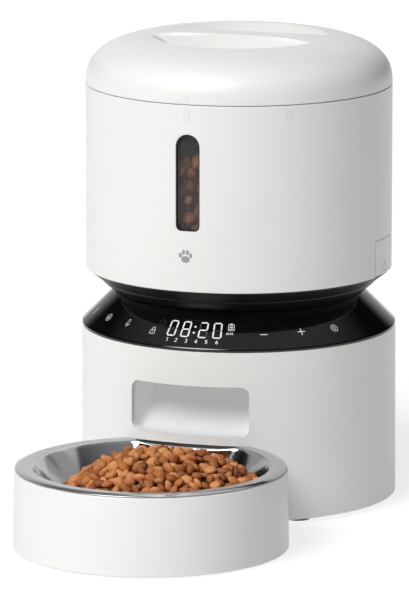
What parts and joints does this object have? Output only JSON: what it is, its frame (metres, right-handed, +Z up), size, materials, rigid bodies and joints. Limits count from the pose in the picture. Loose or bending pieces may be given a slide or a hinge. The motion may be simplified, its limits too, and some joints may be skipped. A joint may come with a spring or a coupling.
{
  "type": "automatic pet feeder",
  "caption": "Gravity-hopper dry food feeder: round base with touch ring and chute, lift-off hopper with window, twist lid, and a steel bowl in a round holder.",
  "frame": {"origin": "middle of the footprint of feeder and bowl together, on the surface it stands on", "axes": "-Y towards the bowl, which is the feeder's front; +X to the right of someone who faces the feeder's front; +Z up"},
  "size_m": [0.1758, 0.3066, 0.2603],
  "materials": {
    "white_abs": "satin white",
    "white_inner": "plain moulded",
    "black_gloss": "polished black",
    "black_satin": "satin black",
    "smoke_window": "smoke clear",
    "grey_acetal": "plain moulded",
    "silicone": "soft matt",
    "foot_rubber": "matt black",
    "bowl_steel": "polished stainless",
    "plated_steel": "nickel plated",
    "cell_jacket": "printed sleeve",
    "circuit_board": "solder mask",
    "desiccant": "fleece pouch"
  },
  "bodies": {
    "base": {"base_casing": "white_abs", "base_floor": "white_abs", "deck": "white_inner", "control_ring": "black_gloss", "chute": "white_inner", "floor_screws": "plated_steel", "deck_screws": "plated_steel", "rubber_feet": "foot_rubber", "battery_box": "white_inner", "battery_cells": "cell_jacket", "battery_contacts": "plated_steel", "battery_springs": "plated_steel", "touch_board": "circuit_board", "display_module": "black_satin", "microphone": "black_satin", "main_board": "circuit_board", "board_spacers": "grey_acetal", "board_components": "black_satin", "speaker": "plated_steel", "speaker_cone": "black_satin", "power_inlet": "black_satin", "food_sensors": "black_satin", "gearbox_housing": "white_inner", "gearbox_cover": "white_inner", "idler_pin": "plated_steel", "motor": "plated_steel"},
    "drive": {"drive_gear": "grey_acetal"},
    "idler": {"idler_gear": "grey_acetal"},
    "pinion": {"motor_pinion": "grey_acetal"},
    "battery_hatch": {"battery_door": "white_abs"},
    "hopper": {"hopper_casing": "white_abs", "food_tank": "white_inner", "tank_funnel": "white_inner", "feed_chamber": "white_inner", "hopper_window": "smoke_window", "hopper_skirt": "black_satin", "feed_baffle": "grey_acetal", "baffle_wipers": "silicone"},
    "right_latch": {"latch_right": "white_abs"},
    "left_latch": {"latch_left": "white_abs"},
    "wheel": {"portion_wheel": "grey_acetal", "stirrer": "silicone"},
    "gasket": {"lid_seal": "silicone"},
    "lid": {"lid_dome": "white_abs", "lid_liner": "white_inner", "desiccant_tray": "white_inner", "desiccant_pack": "desiccant"},
    "desiccant_lid": {"desiccant_cover": "white_inner"},
    "tray": {"bowl_holder": "white_abs", "holder_pads": "foot_rubber"},
    "bowl": {"steel_bowl": "bowl_steel"}
  },
  "joints": [
    {"name": "hopper_lift", "type": "slide", "parent": "base", "child": "hopper", "axis": [0, 0, 1], "range_m": [0, 0.12]},
    {"name": "latch_right_press", "type": "hinge", "parent": "hopper", "child": "right_latch", "pos_m": [0.0826, 0.0654, 0.1487], "axis": [0, 1, 0], "range_deg": [0, 3.5], "stiffness_Nm_per_rad": 0.6},
    {"name": "latch_left_press", "type": "hinge", "parent": "hopper", "child": "left_latch", "pos_m": [-0.0826, 0.0654, 0.1487], "axis": [0, -1, 0], "range_deg": [0, 3.5], "stiffness_Nm_per_rad": 0.6},
    {"name": "lid_lift", "type": "slide", "parent": "hopper", "child": "gasket", "axis": [0, 0, 1], "range_m": [0, 0.08]},
    {"name": "lid_turn", "type": "hinge", "parent": "gasket", "child": "lid", "pos_m": [0, 0.0654, 0.236], "axis": [0, 0, 1], "range_deg": [0, 38]},
    {"name": "desiccant_cover_pull", "type": "slide", "parent": "lid", "child": "desiccant_lid", "axis": [0, 0, -1], "range_m": [0, 0.02]},
    {"name": "wheel_spin", "type": "hinge", "parent": "hopper", "child": "wheel", "pos_m": [0, 0.0654, 0.1], "axis": [0, 0, 1], "continuous": true},
    {"name": "drive_spin", "type": "hinge", "parent": "base", "child": "drive", "pos_m": [0, 0.0654, 0.075], "axis": [0, 0, 1], "continuous": true},
    {"name": "idler_spin", "type": "hinge", "parent": "base", "child": "idler", "pos_m": [0, 0.0926, 0.075], "axis": [0, 0, 1], "continuous": true},
    {"name": "pinion_spin", "type": "hinge", "parent": "base", "child": "pinion", "pos_m": [0, 0.1182, 0.08], "axis": [0, 0, 1], "continuous": true},
    {"name": "battery_door_swing", "type": "hinge", "parent": "base", "child": "battery_hatch", "pos_m": [0, 0.1, 0.0039], "axis": [1, 0, 0], "range_deg": [0, 75]},
    {"name": "tray_slide", "type": "slide", "parent": "base", "child": "tray", "axis": [0, -1, 0], "range_m": [0, 0.06]},
    {"name": "bowl_lift", "type": "slide", "parent": "tray", "child": "bowl", "axis": [0, 0, 1], "range_m": [0, 0.06]}
  ],
  "couplings": [
    {"joint": "drive_spin", "follows": "wheel_spin", "ratio": 1},
    {"joint": "idler_spin", "follows": "wheel_spin", "ratio": -3.25},
    {"joint": "pinion_spin", "follows": "wheel_spin", "ratio": 9.75}
  ]
}
